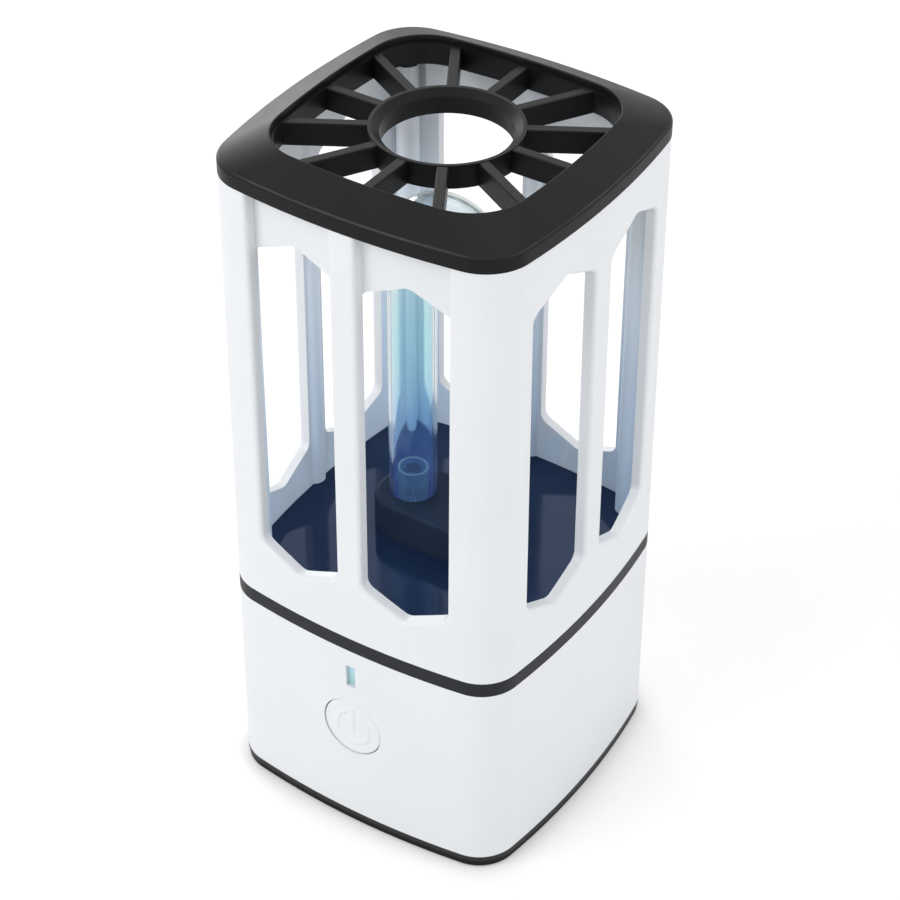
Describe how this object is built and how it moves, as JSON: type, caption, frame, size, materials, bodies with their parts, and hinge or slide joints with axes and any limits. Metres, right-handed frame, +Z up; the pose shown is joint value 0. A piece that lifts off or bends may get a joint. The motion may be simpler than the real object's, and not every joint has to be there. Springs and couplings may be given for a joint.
{
  "type": "uv sterilization lamp",
  "caption": "Portable ultraviolet lamp: U tube in a windowed cage under a spoked grille lid, on a square base with a push button and a charging socket.",
  "frame": {"origin": "bottom centre: on the table under the middle of the body", "axes": "+Z up, -Y towards the face with the button, +X to the right of that face"},
  "size_m": [0.0672, 0.0672, 0.146],
  "materials": {
    "white_plastic": "satin white moulded plastic",
    "black_plastic": "satin black moulded plastic",
    "gloss_black_plastic": "polished black plastic",
    "holder_plastic": "dark heat resistant plastic",
    "quartz_glass": "clear quartz",
    "stem_glass": "clear glass",
    "electrode_nickel": "nickel",
    "lead_insulation": "silicone insulation",
    "screw_steel": "zinc plated",
    "foot_rubber": "matt rubber",
    "battery_pouch": "laminated foil",
    "foam": "closed cell foam",
    "circuit_board": "green solder resist on glass fibre",
    "ferrite": "matt ferrite",
    "coil_tape": "yellow polyester tape",
    "capacitor_can": "sleeved can",
    "chip_resin": "moulded resin",
    "socket_steel": "plated",
    "switch_plastic": "moulded nylon",
    "led_resin": "diode package",
    "light_pipe_acrylic": "tinted clear acrylic"
  },
  "bodies": {
    "housing": {"rubber_feet": "foot_rubber", "bottom_cover": "black_plastic", "bottom_screws": "screw_steel", "base_housing": "white_plastic", "lamp_tray": "gloss_black_plastic", "cage": "white_plastic", "cage_screws": "screw_steel", "top_lid": "black_plastic", "lamp_holder": "holder_plastic", "holder_screws": "screw_steel", "uv_tube": "quartz_glass", "electrode_stems": "stem_glass", "electrodes": "electrode_nickel", "lamp_leads": "lead_insulation", "battery_cell": "battery_pouch", "battery_pad": "foam", "battery_tabs": "electrode_nickel", "main_board": "circuit_board", "board_screws": "screw_steel", "transformer_core": "ferrite", "transformer_coil": "coil_tape", "capacitors": "capacitor_can", "board_chips": "chip_resin", "usb_shell": "socket_steel", "usb_tongue": "black_plastic", "switch_board": "circuit_board", "switch_case": "switch_plastic", "led_chip": "led_resin", "light_pipe": "light_pipe_acrylic"},
    "button": {"power_button": "white_plastic", "switch_plunger": "switch_plastic"}
  },
  "joints": [
    {"name": "button_press", "type": "slide", "parent": "housing", "child": "button", "axis": [0, 1, 0], "range_m": [0, 0.0006], "stiffness_N_per_m": 500}
  ]
}
